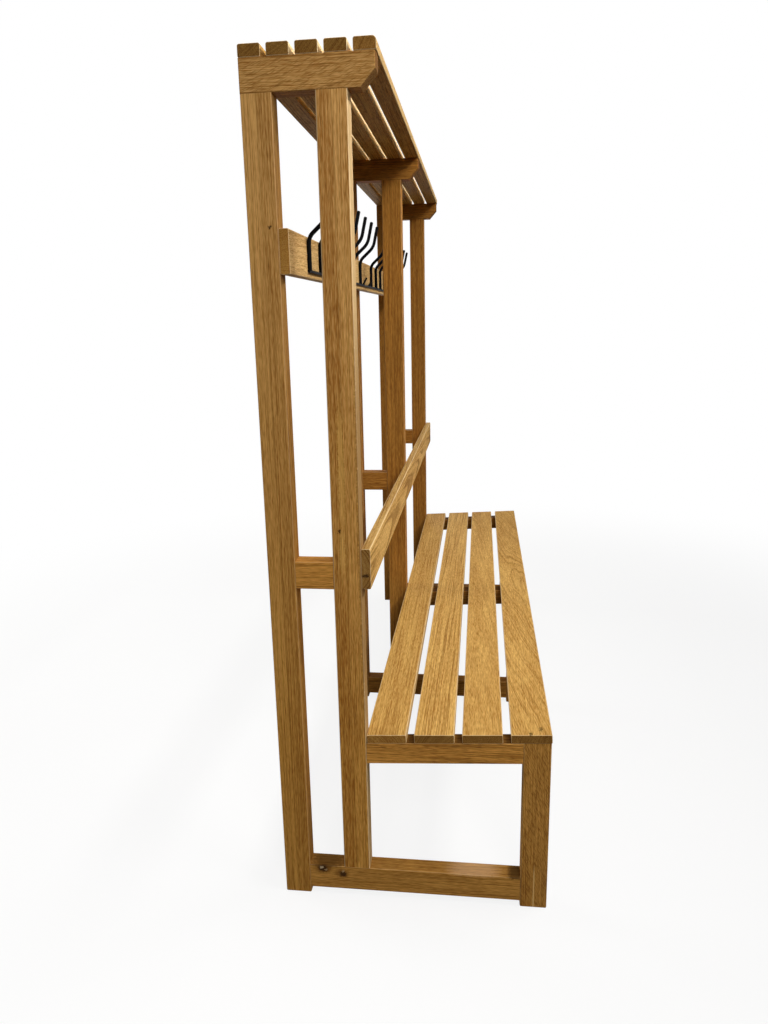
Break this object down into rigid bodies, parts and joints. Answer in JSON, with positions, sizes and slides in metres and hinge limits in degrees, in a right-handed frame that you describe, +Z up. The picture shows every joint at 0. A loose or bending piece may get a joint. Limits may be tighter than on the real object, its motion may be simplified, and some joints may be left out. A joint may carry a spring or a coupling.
{
  "type": "cloakroom bench",
  "caption": "Open solid oak cloakroom bench with slatted sloping seat, backrest board, bent-rod coat hooks and slatted hat shelf on ladder frames",
  "frame": {"origin": "on the floor under the middle of the bench", "axes": "+X along the bench, -Y towards the person who sits down, +Z up"},
  "size_m": [2, 0.6064, 1.801],
  "materials": {
    "oak": "oiled solid oak, planed and sanded",
    "dowel_beech": "bare turned beech",
    "black_steel": "satin black powder coat",
    "zinc_steel": "zinc plated"
  },
  "bodies": {
    "root": {"backrest_board": "oak", "backrest_dowels": "dowel_beech", "coat_hook_01": "black_steel", "coat_hook_02": "black_steel", "coat_hook_03": "black_steel", "coat_hook_04": "black_steel", "coat_hook_05": "black_steel", "coat_hook_06": "black_steel", "coat_hook_07": "black_steel", "coat_hook_08": "black_steel", "coat_hook_09": "black_steel", "coat_hook_10": "black_steel", "coat_hook_11": "black_steel", "coat_hook_12": "black_steel", "coat_hook_13": "black_steel", "coat_hook_14": "black_steel", "far_bottom_rail": "oak", "far_front_leg": "oak", "far_front_post": "oak", "far_mid_rail": "oak", "far_rear_post": "oak", "far_seat_rail": "oak", "far_top_rail": "oak", "hook_bar": "black_steel", "hook_board": "oak", "hook_board_dowels": "dowel_beech", "hook_screws": "zinc_steel", "middle_bottom_rail": "oak", "middle_front_leg": "oak", "middle_front_post": "oak", "middle_mid_rail": "oak", "middle_rear_post": "oak", "middle_seat_rail": "oak", "middle_top_rail": "oak", "near_bottom_rail": "oak", "near_front_leg": "oak", "near_front_post": "oak", "near_mid_rail": "oak", "near_rear_post": "oak", "near_seat_rail": "oak", "near_top_rail": "oak", "seat_dowels": "dowel_beech", "seat_slat_1": "oak", "seat_slat_2": "oak", "seat_slat_3": "oak", "seat_slat_4": "oak", "shelf_dowels": "dowel_beech", "shelf_slat_1": "oak", "shelf_slat_2": "oak", "shelf_slat_3": "oak", "shelf_slat_4": "oak", "shelf_slat_5": "oak", "short_prong_1": "black_steel", "short_prong_2": "black_steel"}
  },
  "joints": []
}
